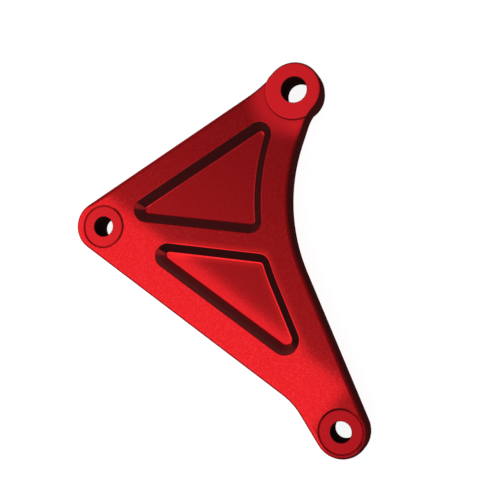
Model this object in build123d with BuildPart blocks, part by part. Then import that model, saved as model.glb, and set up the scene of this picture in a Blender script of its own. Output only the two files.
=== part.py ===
"""Three-eye suspension link, machined from one piece of aluminium plate.

The origin is on the axis of the main pivot, in the plane of the back boss faces,
which is also the plane that the link lies on. The lower pivot is straight down the
page along -Y, the side pivot is out along -X, and the front face looks up along +Z.
"""

import os
from math import acos, degrees

from build123d import *

# Pivot layout, seen from the front
lower_drop = 131.0
side_reach = 85.0
side_drop = 40.25

# Bores for the pivot bolts, with a small break at each rim
main_bore = 10.0
side_bore = 8.0
lower_bore = 8.0
bore_break = 0.2

# The two round eyes, and the corner that makes the side eye. The outline of the main eye
# is shifted a little towards the side eye
main_eye_radius = 10.9
main_eye_shift = 0.35
lower_eye_radius = 10.4
side_corner_radius = 10.3

# How far the upper, lower and neck edges pass from the axes of the side and main pivots
upper_edge_offset = 11.5
lower_edge_offset = 11.1
upper_neck_offset = 8.8
inner_neck_offset = 8.1

# Where the straight edges of the waist and of the toe would cross, before rounding
waist_corner = (-12.8, -44.2)
bend_corner = (-17.0, -118.7)
waist_radius = 70.0
bend_radius = 25.0
upper_neck_radius = 55.0
inner_neck_radius = 15.0

# Thickness of the plate, and how far the faces of the bosses stand beyond it
plate_thickness = 9.0
back_boss_height = 4.0
main_face_rise = 1.0
main_face_margin = 0.5

# Back bosses, smaller than the eyes that they stand on
main_back_boss_radius = 9.8
side_back_boss_radius = 9.4
lower_back_boss_radius = 9.2
back_boss_break = 0.5

# Rounding of the outer edges
front_edge_radius = 2.0
back_edge_radius = 1.4
main_edge_radius = 1.2

# Groove turned round the face of each of the two smaller bosses
side_face_radius = 7.9
lower_face_radius = 8.0
groove_floor_width = 0.3
groove_flank_width = 0.6
groove_depth = 0.6

# Pockets, the land left between them and the outer edges, and the rib that parts them
pocket_depth = 3.0
pocket_wall_angle = 50.0
pocket_corner_radius = 5.0
pocket_tip_radius = 5.8
pocket_rim_radius = 0.6
pocket_floor_radius = 1.0
upper_land = 10.5
inner_land = 11.2
lower_land = 12.1
rib_width = 7.3
rib_angle = -14.6

main_pivot = Vector(0, 0)
side_pivot = Vector(-side_reach, -side_drop)
lower_pivot = Vector(0, -lower_drop)
waist = Vector(waist_corner)
bend = Vector(bend_corner)

plate_back = back_boss_height
plate_front = plate_back + plate_thickness
main_face = plate_front + main_face_rise
main_face_radius = main_eye_radius + main_face_margin

main_eye_centre = main_pivot - Vector(main_eye_shift, 0)
round_eyes = ((main_eye_centre, main_eye_radius), (lower_pivot, lower_eye_radius))
back_bosses = ((main_pivot, main_back_boss_radius), (side_pivot, side_back_boss_radius),
               (lower_pivot, lower_back_boss_radius))
bores = ((main_pivot, main_bore, main_face), (side_pivot, side_bore, plate_front),
         (lower_pivot, lower_bore, plate_front))
grooved_faces = ((side_pivot, side_face_radius), (lower_pivot, lower_face_radius))

standing = (Align.CENTER, Align.CENTER, Align.MIN)
hanging = (Align.CENTER, Align.CENTER, Align.MAX)


def edge_between(start, start_offset, end, end_offset):
    """Straight edge that passes two points at the given distances, on its right."""
    gap = end - start
    lean = degrees(acos((start_offset - end_offset) / gap.length))
    outward = gap.normalized().rotate(Axis.Z, lean)
    return Line(start + outward * start_offset, end + outward * end_offset)


def moved_in(edge, land):
    """Copy of a straight edge, moved to its right by the width of the land."""
    inward = (edge % 0).rotate(Axis.Z, -90)
    return edge.moved(Location(inward * land))


def crossing(first, second):
    """Point where the lines through two straight edges cross."""
    gap = second @ 0 - first @ 0
    reach = gap.cross(second % 0).Z / (first % 0).cross(second % 0).Z
    return first @ 0 + (first % 0) * reach


def corner_at(sketch, point):
    """Corner of a sketch that lies nearest to a point."""
    return sketch.vertices().sort_by_distance(point)[0]


# The five straight edges of the plan, taken clockwise from the side eye
upper_edge = edge_between(side_pivot, upper_edge_offset, main_pivot, upper_neck_offset)
neck_edge = edge_between(main_pivot, inner_neck_offset, waist, 0)
inner_edge = edge_between(waist, 0, lower_pivot, lower_eye_radius)
toe_edge = edge_between(lower_pivot, lower_eye_radius, bend, 0)
lower_edge = edge_between(bend, 0, side_pivot, lower_edge_offset)

# Outline of the plate: the web between the edges, an eye at each of the two pivots on
# its right, and the rounded corner that makes the side eye
side_corner = crossing(lower_edge, upper_edge)

with BuildSketch() as outline:
    with BuildLine():
        Polyline(side_corner, upper_edge @ 1, neck_edge @ 0, waist, inner_edge @ 1,
                 toe_edge @ 0, bend, close=True)
    make_face()
    for centre, radius in round_eyes:
        with Locations(centre):
            Circle(radius)
    fillet(corner_at(outline, side_corner), side_corner_radius)
    fillet(corner_at(outline, waist), waist_radius)
    fillet(corner_at(outline, bend), bend_radius)
    fillet(corner_at(outline, upper_edge @ 1), upper_neck_radius)
    fillet(corner_at(outline, neck_edge @ 0), inner_neck_radius)

# Rims of the two pockets: the field inside the lands, parted by the rib
field = [moved_in(upper_edge, upper_land), moved_in(neck_edge, inner_land),
         moved_in(inner_edge, inner_land), moved_in(lower_edge, lower_land)]
heel, apex, inner_bow, tip = (crossing(field[i - 1], field[i]) for i in range(4))
rib_length = 2 * side_reach

with BuildSketch() as pockets:
    with BuildLine():
        Polyline(heel, apex, inner_bow, tip, close=True)
    make_face()
    fillet(corner_at(pockets, inner_bow), waist_radius + inner_land)
    fillet(corner_at(pockets, tip), pocket_tip_radius)
    with Locations(Location(side_pivot, rib_angle)):
        Rectangle(rib_length, rib_width, mode=Mode.SUBTRACT)
    offset(amount=-pocket_corner_radius, kind=Kind.INTERSECTION)
    offset(amount=pocket_corner_radius, kind=Kind.ARC)

# Main eye: the outline within its turned face, rounded where it is the edge of the link
# and left as a crisp step over the web
with BuildSketch() as main_eye_plan:
    add(outline.sketch)
    with Locations(main_pivot):
        Circle(main_face_radius, mode=Mode.INTERSECT)

with BuildPart() as main_eye:
    eye_back = plate_back + back_edge_radius
    extrude(Plane.XY.offset(eye_back) * main_eye_plan.sketch, amount=main_face - eye_back)
    face_edges = main_eye.faces().sort_by(Axis.Z)[-1].edges()
    step = face_edges.sort_by_distance((main_pivot.X, main_pivot.Y, main_face))[-1]
    fillet(face_edges - ShapeList([step]), main_edge_radius)

# Grooves round the two smaller faces, with a sloping outer flank
with BuildPart() as grooves:
    for pivot, radius in grooved_faces:
        with Locations((pivot.X, pivot.Y, plate_front)):
            Cone(radius + groove_floor_width, radius + groove_floor_width + groove_flank_width,
                 groove_depth, align=hanging)
            Cylinder(radius, groove_depth, align=hanging, mode=Mode.SUBTRACT)

with BuildPart() as link_arm:
    # Plate, with its front edge well rounded and its back edge eased
    extrude(Plane.XY.offset(plate_back) * outline.sketch, amount=plate_thickness)
    fillet(link_arm.faces().sort_by(Axis.Z)[-1].edges(), front_edge_radius)
    fillet(link_arm.faces().sort_by(Axis.Z)[0].edges(), back_edge_radius)

    # Pockets with sloping walls, blended at the rim and at the floor
    extrude(Plane.XY.offset(plate_front) * pockets.sketch, amount=-pocket_depth,
            taper=pocket_wall_angle, mode=Mode.SUBTRACT)
    level_faces = link_arm.faces().filter_by(Plane.XY)
    front_face = level_faces.sort_by(Axis.Z)[-1]
    floors = level_faces.filter_by_position(Axis.Z, plate_back, plate_front, (False, False))
    rims = [edge for wire in front_face.inner_wires() for edge in wire.edges()]
    fillet(rims, pocket_rim_radius)
    fillet(floors.edges(), pocket_floor_radius)

    add(main_eye.part)

    # Back bosses, which the link lies on, carried up into the eased edge of the plate
    for pivot, radius in back_bosses:
        with Locations(pivot):
            Cone(radius - back_boss_break, radius, back_boss_break, align=standing)
        with Locations((pivot.X, pivot.Y, back_boss_break)):
            Cylinder(radius, plate_back + back_edge_radius - back_boss_break, align=standing)

    # Grooves, then the bores with their rims broken
    add(grooves.part, mode=Mode.SUBTRACT)
    for pivot, bore, face in bores:
        with Locations((pivot.X, pivot.Y, face)):
            Hole(bore / 2)
            Cone(bore / 2, bore / 2 + bore_break, bore_break, align=hanging, mode=Mode.SUBTRACT)
        with Locations(pivot):
            Cone(bore / 2 + bore_break, bore / 2, bore_break, align=standing, mode=Mode.SUBTRACT)

link_arm.part.label = "link_arm"
os.makedirs("parts", exist_ok=True)
export_step(link_arm.part, "parts/link_arm.step")
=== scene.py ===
"""Looks of the three-eye suspension link: satin red anodised aluminium on a pale floor."""

from math import cos, pi, radians, sin

import bpy
from mathutils import Matrix, Vector

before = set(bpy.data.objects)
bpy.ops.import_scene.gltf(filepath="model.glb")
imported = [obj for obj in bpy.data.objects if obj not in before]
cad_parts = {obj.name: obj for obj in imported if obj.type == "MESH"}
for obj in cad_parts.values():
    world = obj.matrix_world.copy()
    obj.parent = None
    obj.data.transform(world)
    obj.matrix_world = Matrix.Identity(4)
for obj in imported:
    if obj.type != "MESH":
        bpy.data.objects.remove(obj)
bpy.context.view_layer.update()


# The link arm is one plate of aluminium, machined all over. It was blasted with fine
# beads and dyed red by anodising, which leaves a satin skin with a fine grain. The faces
# round the bores were turned flat. The steep walls get a painted near-black shade.
class Wire:
    """An output of a shader node. Arithmetic on it adds the Math node that does it."""

    def __init__(self, shading, socket):
        self.shading = shading
        self.socket = socket

    def maths(self, operation, left, right=0.0):
        return self.shading.node("Math", {"operation": operation}, {0: left, 1: right})

    def __add__(self, other):
        return self.maths("ADD", self, other)

    def __sub__(self, other):
        return self.maths("SUBTRACT", self, other)

    def __rsub__(self, other):
        return self.maths("SUBTRACT", other, self)

    def __mul__(self, other):
        return self.maths("MULTIPLY", self, other)

    def __abs__(self):
        return self.maths("ABSOLUTE", self)

    __radd__ = __add__
    __rmul__ = __mul__


class Shading:
    """The node tree of a material or of the world."""

    def __init__(self, owner):
        self.owner = owner
        owner.use_nodes = True
        self.tree = owner.node_tree
        self.tree.nodes.clear()

    def node(self, kind, settings, sockets, output=0):
        """Adds a node: its settings first, then the value or the wire of each input."""
        made = self.tree.nodes.new("ShaderNode" + kind)
        for name, value in settings.items():
            setattr(made, name, value)
        for key, value in sockets.items():
            if isinstance(value, Wire):
                self.tree.links.new(value.socket, made.inputs[key])
            else:
                made.inputs[key].default_value = value
        return Wire(self, made.outputs[output]) if made.outputs else None

    def ramp(self, value, low, high):
        """Nought below low and one above high, with a smooth rise between."""
        sockets = {"Value": value, "From Min": low, "From Max": high}
        return self.node("MapRange", {"interpolation_type": "SMOOTHSTEP"}, sockets)

    def fade(self, value, low, high):
        """One below low and nought above high, with a smooth fall between."""
        return 1 - self.ramp(value, low, high)

    def larger(self, one, other):
        """The larger of two values at each point."""
        return self.node("Math", {"operation": "MAXIMUM"}, {0: one, 1: other})

    def part_along(self, vector, way):
        """How far a vector goes along a way of length one."""
        return self.node("VectorMath", {"operation": "DOT_PRODUCT"}, {0: vector, 1: way}, "Value")

    def blend(self, share, base, other):
        """Mixes two colours: the sockets of a colour Mix node are 0, 6 and 7, its output 2."""
        return self.node("Mix", {"data_type": "RGBA"}, {0: share, 6: base, 7: other}, 2)


blasted_red = (0.43, 0.0090, 0.0120, 1)
# Pale fleck colour of the grain, painted in as the sparkle of the blasted metal
painted_sparkle_red = (0.62, 0.058, 0.060, 1)
# The three face colours are lit and shaded tones of one turned finish: painted light on the main
# face, painted shade on the small ones
main_face_painted_light_red = (0.875, 0.0210, 0.0295, 1)
side_face_painted_shade_red = (0.555, 0.0160, 0.0205, 1)
lower_face_painted_shade_red = (0.50, 0.0125, 0.0175, 1)
# A red of painted highlights, for the glints, the bright band and the apex spot in the pockets
painted_highlight_red = (0.78, 0.020, 0.022, 1)
# A dark red, painted as shade on the rounded outer edges, and also the colour of the faint mottle
edge_shade_and_mottle_red = (0.06, 0.0050, 0.0055, 1)
# The four wall colours are painted shade and light: the dark wall tone, its streaks, a lighter
# tone for walls that face the light, and a deeper shade
wall_shade_red = (0.036, 0.0060, 0.0062, 1)
wall_shade_streak_red = (0.056, 0.0080, 0.0085, 1)
wall_painted_light_red = (0.16, 0.022, 0.022, 1)
wall_deep_shade_red = (0.008, 0.003, 0.003, 1)
# A painted highlight for the wall at the left end of each pocket
tip_highlight_red = (0.30, 0.0180, 0.0180, 1)
# Painted shade for the inside of the bores
bore_shade_black = (0.030, 0.008, 0.008, 1)

# Places on the link in millimetres, from the main pivot, as are the heights and distances
# below. A mask has two limits: where it starts to change, and where it has changed
MM = 0.001
main_pivot = (0, 0, 0)
side_pivot = (-85, -40.25, 0)
lower_pivot = (0, -131, 0)
neck_edge = (7.8, -2.3, 0)
waist = (-12.8, -44.2, 0)
toe_edge = (10.1, -128.4, 0)
rib_end = (11.8, -65.5, 0)
below_neck = (0, -14, 0)
floor_apex = (-15.0, -13.6, 0)
above_toe = (0, -102, 0)
left_of_toe = (-10, -102, 0)

skin = Shading(bpy.data.materials.new("red_anodised_aluminium"))
place = skin.node("TexCoord", {}, {}, "Object")
plan = skin.node("VectorMath", {"operation": "MULTIPLY"}, {0: place, 1: (1, 1, 0)})
height = skin.node("SeparateXYZ", {}, {"Vector": place}, "Z") * (1 / MM)
facing = skin.node("TexCoord", {}, {}, "Normal")
sideways = skin.node("SeparateXYZ", {}, {"Vector": facing}, "X")
flatness = abs(skin.node("SeparateXYZ", {}, {"Vector": facing}, "Z"))


def reach(pivot):
    """Distance from the axis of a pivot, in millimetres."""
    point = Vector(pivot) * MM
    away = skin.node("VectorMath", {"operation": "DISTANCE"}, {0: plan, 1: point}, "Value")
    return away * (1 / MM)


def right_of(start, end, low, high):
    """Rises from nought to one between two distances right of the line start to end."""
    way = (Vector(end) - Vector(start)).normalized()
    rightward = Vector((way.y, -way.x, 0))
    past = skin.part_along(place, rightward) * (1 / MM) - rightward.dot(Vector(start))
    return skin.ramp(past, low, high)


# Everything above the middle of the plate is front. The back faces of the bosses were
# turned, and so were the faces of the three eyes: each has its radius and height here
mid_plate = (9.2, 9.8)
back_face = (0.0, 0.5)
turned_faces = ((side_pivot, 7.9, (12.1, 12.3)), (lower_pivot, 8.0, (12.1, 12.3)),
                (main_pivot, 12.0, (13.4, 13.6)))
groove_width = 0.8
groove_blur = 0.2
cutter_step = 0.3
front = skin.ramp(height, *mid_plate)
turned_and_highlight = skin.fade(height, *back_face)
grooved = 0.0
rings = 0.0
for pivot, radius, face_height in turned_faces:
    away = reach(pivot)
    face = skin.fade(away, radius + groove_width, radius + groove_width + groove_blur)
    face = face * skin.ramp(height, *face_height)
    turned_and_highlight = turned_and_highlight + face
    grooved = grooved + face * skin.ramp(away, radius - groove_blur, radius)
    wave = skin.node("Math", {"operation": "SINE"}, {0: away * (2 * pi / cutter_step)})
    rings = rings + face * wave

# A painted highlight: the bright colour and duller shine of the turned faces spread into the
# web, as a ring round the main eye and a spot below it
highlight_ring_share = 0.75
highlight_ring_reach = (12.5, 22.0)
highlight_spot_share = 0.2
highlight_spot_reach = (1.0, 7.0)
web_highlight = highlight_ring_share * skin.fade(reach(main_pivot), *highlight_ring_reach)
web_highlight = web_highlight + highlight_spot_share * skin.fade(reach(below_neck), *highlight_spot_reach)
web_highlight = front * web_highlight
# The painted highlight joins the mask of the turned faces, so it takes their colour and dullness
turned_and_highlight = turned_and_highlight + web_highlight * (1 - turned_and_highlight)

# Painted shade: the inside of each bore, up to its rim, and a dark line at the foot of the
# step round the main face
bores = ((main_pivot, 5.0), (side_pivot, 4.0), (lower_pivot, 4.0))
rim_start = 0.03
rim_end = 0.15
bore_shade = 0.0
for pivot, radius in bores:
    bore_shade = bore_shade + skin.fade(reach(pivot), radius + rim_start, radius + rim_end)
step_radius = 11.5
step_blur = (0.15, 0.4)
step_height = (13.2, 13.6)
step_shade = skin.fade(abs(reach(main_pivot) - step_radius), *step_blur)
step_shade = step_shade * skin.fade(height, *step_height)

# The field of the front that holds both pockets, clear of the outer edges, and its lower
# part, below the rib
inside_top = (-5, -2.5)
inside_bottom = (-2, 0)
inside_right = (3, 6)
rib_middle = (-1, 1)
right_sides = right_of(neck_edge, waist, *inside_right), right_of(waist, toe_edge, *inside_right)
field = front * right_of(side_pivot, main_pivot, *inside_top)
field = field * right_of(lower_pivot, side_pivot, *inside_bottom)
field = field * skin.larger(*right_sides)
below_rib = right_of(side_pivot, rib_end, *rib_middle)

# Pocket walls that face the top of the page climb. Those that face the other way get a painted
# glint, a painted highlight along foot and rim: more below the rib, less at the right and at the
# rims
page_top = (0.60, 0.80, 0)
climb = (-0.2, 0.4)
fall = (-0.12, -0.02)
glint_above_rib = 0.1
glint_right_loss = 0.85
glint_rim_loss = 0.6
facing_left = (-0.30, -0.17)
rim_height = (11.0, 12.0)
up_page = skin.part_along(facing, page_top)
faces_up = skin.ramp(up_page, *climb)
climbing = field * faces_up
painted_glint = field * skin.fade(up_page, *fall) * (glint_above_rib + (1 - glint_above_rib) * below_rib)
painted_glint = painted_glint * (1 - glint_right_loss * skin.fade(sideways, *facing_left))
painted_glint = painted_glint * (1 - glint_rim_loss * skin.ramp(height, *rim_height))

# Pocket walls by how flat they lie: first where their painted dark shade shows, which the
# painted glint and the lower pocket's lit foot thin out, then where the shade turns the metal
# matt
pocket_slope = (0.82, 0.98)
pocket_matt_slope = (0.775, 0.88)
glint_lift = 0.05
foot_loss = 0.55
foot_height = (10.2, 11.7)
pocket_wall_shade = field * skin.fade(flatness + glint_lift * painted_glint, *pocket_slope)
wall_foot = climbing * below_rib * skin.fade(height, *foot_height)
pocket_wall_shade = pocket_wall_shade * (1 - foot_loss * wall_foot)
pocket_matt_shade = field * skin.fade(flatness, *pocket_matt_slope)

# Outer walls in the same way, with a painted soft dark shade on their rounded edges. They keep
# more metal on the left, away from the main eye, and in the grooves
outer_slope = (0.64, 0.93)
edge_slope = (0.72, 0.998)
outer_matt_slope = (0.45, 0.78)
left_lift = 0.15
left_facing = (-0.45, -0.05)
left_reach = (10, 50)
edge_shade_share = 0.75
groove_loss = 0.7
left_side = skin.fade(sideways, *left_facing) * skin.ramp(reach(main_pivot), *left_reach)
outer_flatness = flatness + left_lift * left_side
ungrooved = 1 - groove_loss * grooved
outer_wall_shade = ungrooved * skin.fade(outer_flatness, *outer_slope)
outer_edge_shade = edge_shade_share * ungrooved * skin.fade(outer_flatness, *edge_slope)
outer_matt_shade = ungrooved * skin.fade(outer_flatness, *outer_matt_slope)
# The masks of painted shade on walls and edges, and of where that painted shade makes the metal
# matt
wall_shade_mask = skin.larger(pocket_wall_shade, outer_wall_shade)
matt_shade = skin.larger(skin.larger(pocket_matt_shade, outer_matt_shade), bore_shade)

# The blasted metal: a fine grain with pale flecks that paint in its sparkle, a faint darker
# mottle, and wide clouds of more and less shine
grain_scale = 1900
cloud_scale = 60
mottle_scale = 900
fleck_share = 0.30
fleck_limits = (0.45, 0.75)
mottle_share = 0.06
mottle_limits = (0.35, 0.70)
grain = skin.node("TexNoise", {}, {"Vector": place, "Scale": grain_scale, "Detail": 2})
cloud = skin.node("TexNoise", {}, {"Vector": place, "Scale": cloud_scale, "Detail": 3})
mottle = skin.node("TexNoise", {}, {"Vector": place, "Scale": mottle_scale, "Detail": 1})
colour = skin.blend(fleck_share * skin.ramp(grain, *fleck_limits), blasted_red, painted_sparkle_red)
colour = skin.blend(mottle_share * skin.ramp(mottle, *mottle_limits), colour, edge_shade_and_mottle_red)

# The turned faces over it, painted lighter on the main eye and darker on the small eyes, as
# light and shade would fall, then painted shade on the edges and on the step
next_eye = (20.0, 30.0)
step_shade_share = 0.7
face_painted_tone = skin.blend(skin.ramp(reach(side_pivot), *next_eye), side_face_painted_shade_red, lower_face_painted_shade_red)
face_painted_tone = skin.blend(skin.ramp(reach(main_pivot), *next_eye), main_face_painted_light_red, face_painted_tone)
colour = skin.blend(turned_and_highlight, colour, face_painted_tone)
colour = skin.blend(outer_edge_shade, colour, edge_shade_and_mottle_red)
colour = skin.blend(step_shade_share * step_shade, colour, wall_shade_red)

# Painted highlights: a bright band on the floor of the lower pocket, beside its top and right
# walls, the painted glint of the falling walls, and a spot in the apex of the upper pocket's
# floor
top_band = (0.8, 3.6)
top_band_end = (7.0, 10.2)
band_start = (27, 36)
right_band = (8.4, 11.2)
right_band_end = (14.4, 17.6)
level_floor = (0.94, 0.999)
right_band_share = 0.7
highlight_band_share = 0.7
painted_glint_share = 0.3
band_finish = (0, 6)
apex_reach = (0.3, 1.5)
past_rib = right_of(side_pivot, rib_end, *top_band)
past_edge = right_of(waist, toe_edge, *right_band)
near_top = past_rib * (1 - right_of(side_pivot, rib_end, *top_band_end))
near_top = near_top * skin.ramp(reach(side_pivot), *band_start)
near_right = past_edge * (1 - right_of(waist, toe_edge, *right_band_end))
near_right = right_band_share * near_right * skin.ramp(flatness, *level_floor)
highlight_band = front * skin.larger(near_top * past_edge, near_right * past_rib)
highlight_band = highlight_band * right_of(above_toe, left_of_toe, *band_finish)
apex_highlight = front * skin.fade(reach(floor_apex), *apex_reach)
colour = skin.blend(highlight_band_share * highlight_band, colour, painted_highlight_red)
colour = skin.blend(painted_glint_share * painted_glint, colour, painted_highlight_red)
colour = skin.blend(apex_highlight, colour, painted_highlight_red)

# Painted shade on the walls, with upright streaks: painted lighter where a wall climbs, deeper
# on the other walls of the lower pocket, and a painted highlight at the left end of each pocket
streak_scale = 2400
streak_stretch = (1, 1, 0.04)
streak_limits = (0.30, 0.80)
pale_anywhere = 0.29
pale_foot = 0.15
pale_rise = 0.35
pale_height = (11.0, 12.6)
deep_shade_share = 0.6
tip_facing = (0.57, -0.30, 0.766)
tip_limits = (0.975, 0.998)
tip_reach = (30, 36)
upended = skin.node("VectorMath", {"operation": "MULTIPLY"}, {0: place, 1: streak_stretch})
streak = skin.node("TexNoise", {}, {"Vector": upended, "Scale": streak_scale, "Detail": 2})
wall_shade_colour = skin.blend(skin.ramp(streak, *streak_limits), wall_shade_red, wall_shade_streak_red)
# Painted light on the walls that face the top of the page, more on their upper part below the rib
lit_wall_share = (pale_foot + pale_rise * skin.ramp(height, *pale_height)) * below_rib
wall_shade_colour = skin.blend(climbing * (pale_anywhere + lit_wall_share), wall_shade_colour, wall_painted_light_red)
# A deeper painted shade on the lower pocket's walls that face away from the top of the page
wall_shade_colour = skin.blend(deep_shade_share * field * below_rib * (1 - faces_up), wall_shade_colour, wall_deep_shade_red)
# The painted highlight at the pocket ends, on walls facing that way
tip_highlight = skin.ramp(skin.part_along(facing, tip_facing), *tip_limits)
tip_highlight = field * tip_highlight * skin.fade(reach(side_pivot), *tip_reach)
wall_shade_colour = skin.blend(tip_highlight, wall_shade_colour, tip_highlight_red)
colour = skin.blend(wall_shade_mask, colour, wall_shade_colour)
colour = skin.blend(bore_shade, colour, bore_shade_black)

# Turned faces shine less than the blasted skin, and where shade is painted on walls and
# bores the metal is turned off and dulled. The relief is that of the grain and of the rings.
# Specular Tint is the colour of the metal at grazing angles
satin = 0.12
cloud_dulling = 0.04
turned_dulling = 0.30
matt_shade_dulling = 0.15
turned_metal_loss = 0.75
grazing_red = (0.9, 0.45, 0.45, 1)
grain_depth = 0.011 * MM
ring_depth = 0.0008 * MM
roughness = satin + cloud_dulling * cloud + turned_dulling * turned_and_highlight + matt_shade_dulling * matt_shade
metallic = (1 - turned_metal_loss * turned_and_highlight) * (1 - matt_shade)
relief = grain * grain_depth + rings * ring_depth
normal = skin.node("Bump", {}, {"Strength": 1.0, "Distance": 1.0, "Height": relief})
surface = skin.node("BsdfPrincipled", {}, {
    "Base Color": colour, "Metallic": metallic, "Roughness": roughness, "Normal": normal,
    "Specular IOR Level": 0.0, "Specular Tint": grazing_red})
skin.node("OutputMaterial", {}, {"Surface": surface})

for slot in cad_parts["link_arm"].material_slots:
    slot.material = skin.owner


# The floor is a wide sheet of pale card under the link. It shows white, and keeps the
# soft shadow that the link casts on it.
floor_half = 3.0
floor_height = -0.0001
card_grey = (0.25, 0.25, 0.25, 1)
card_glow = 0.91
corners = []
for x, y in ((-1, -1), (1, -1), (1, 1), (-1, 1)):
    corners.append((x * floor_half, y * floor_half, floor_height))
sheet = bpy.data.meshes.new("floor")
sheet.from_pydata(corners, [], [(0, 1, 2, 3)])
floor = bpy.data.objects.new("floor", sheet)
bpy.context.scene.collection.objects.link(floor)

card = Shading(bpy.data.materials.new("pale_floor"))
matt = card.node("BsdfDiffuse", {}, {"Color": card_grey})
glow = card.node("Emission", {}, {"Strength": card_glow})
card.node("OutputMaterial", {}, {"Surface": card.node("AddShader", {}, {0: matt, 1: glow})})
sheet.materials.append(card.owner)


# The room is plain: pale walls round about, and a dimmer ceiling overhead. Both are
# lighter on the side of the lamp, at the lower left of the page. Low down, the camera and
# the metal see a white backdrop in front of the walls.
lamp_turn = radians(45)
lamp_side = Vector((-sin(lamp_turn), -cos(lamp_turn), 0))
ceiling_limits = (-0.15, 0.28)
ceiling_tones = (0.32, 0.80)
ceiling_lift = 0.12
lift_limits = (0.05, 0.15)
wall_limits = (-0.3, 0.5)
wall_tones = (0.36, 0.96)
wall_top = (0.2, 0.88)
backdrop_top = (0.10, 0.25)
room = Shading(bpy.data.worlds.new("room"))
bpy.context.scene.world = room.owner
direction = room.node("TexCoord", {}, {}, "Generated")
rise = room.node("SeparateXYZ", {}, {"Vector": direction}, "Z")
lampward = room.part_along(direction, lamp_side)


def tone(limits, tones):
    """Goes evenly from one tone to the other, towards the side of the lamp."""
    ends = {"From Min": limits[0], "From Max": limits[1], "To Min": tones[0], "To Max": tones[1]}
    return room.node("MapRange", {}, {"Value": lampward, **ends})


ceiling = tone(ceiling_limits, ceiling_tones) + ceiling_lift * room.ramp(lampward, *lift_limits)
walls = tone(wall_limits, wall_tones)
strength = ceiling + room.fade(rise, *wall_top) * (walls - ceiling)
seen = room.node("LightPath", {}, {}, "Is Camera Ray")
mirrored = room.node("LightPath", {}, {}, "Is Glossy Ray")
seen_through = room.node("LightPath", {}, {}, "Is Transmission Ray")
backdrop = room.larger(mirrored, seen_through) * room.fade(rise, *backdrop_top)
backdrop = seen + (1 - seen) * backdrop
strength = strength + backdrop * (1 - strength)
shell = room.node("Background", {}, {"Color": (1, 1, 1, 1), "Strength": strength})
room.node("OutputWorld", {}, {"Surface": shell})


# One large softbox hangs level over the lower left of the link, near enough to show a
# soft edge of its own in the satin skin. It is placed from the point under the camera.
box_height = 0.073
box_length = 0.60
box_width = 0.40
box_reach = 0.068
box_end = 0.022
under_camera = Vector((0.0589, -0.0870, 0))
lengthwise = Vector((lamp_side.y, -lamp_side.x, 0))
box_middle = under_camera + lamp_side * (box_reach + box_width / 2)
box_middle += lengthwise * (box_end + box_length / 2)
lamp = bpy.data.lights.new("softbox", "AREA")
lamp.shape = "RECTANGLE"
lamp.size, lamp.size_y = box_length, box_width
lamp.energy = 0.86
lamp.color = (1.0, 0.76, 0.79)
softbox = bpy.data.objects.new("softbox", lamp)
softbox.location = box_middle + Vector((0, 0, box_height))
softbox.rotation_euler = (0, 0, -lamp_turn)
softbox.visible_camera = False
bpy.context.scene.collection.objects.link(softbox)


# The camera looks down on the link from its lower right, at the angle of the photograph
# and with the page turned a little.
camera_height = 0.3472
page_turn = radians(7.60)
view_from = under_camera + Vector((0, 0, camera_height))
view_to = Vector((-0.02647, -0.05745, 0.013))
ahead = (view_to - view_from).normalized()
across = ahead.cross(Vector((sin(page_turn), cos(page_turn), 0))).normalized()
upward = across.cross(ahead)
optics = bpy.data.cameras.new("camera")
optics.lens, optics.sensor_width = 65.10, 36
optics.clip_start = 0.01
camera = bpy.data.objects.new("camera", optics)
turn = Matrix((across, upward, -ahead)).transposed().to_4x4()
camera.matrix_world = Matrix.Translation(view_from) @ turn
bpy.context.scene.collection.objects.link(camera)
bpy.context.scene.camera = camera
bpy.context.scene.view_settings.view_transform = "Standard"
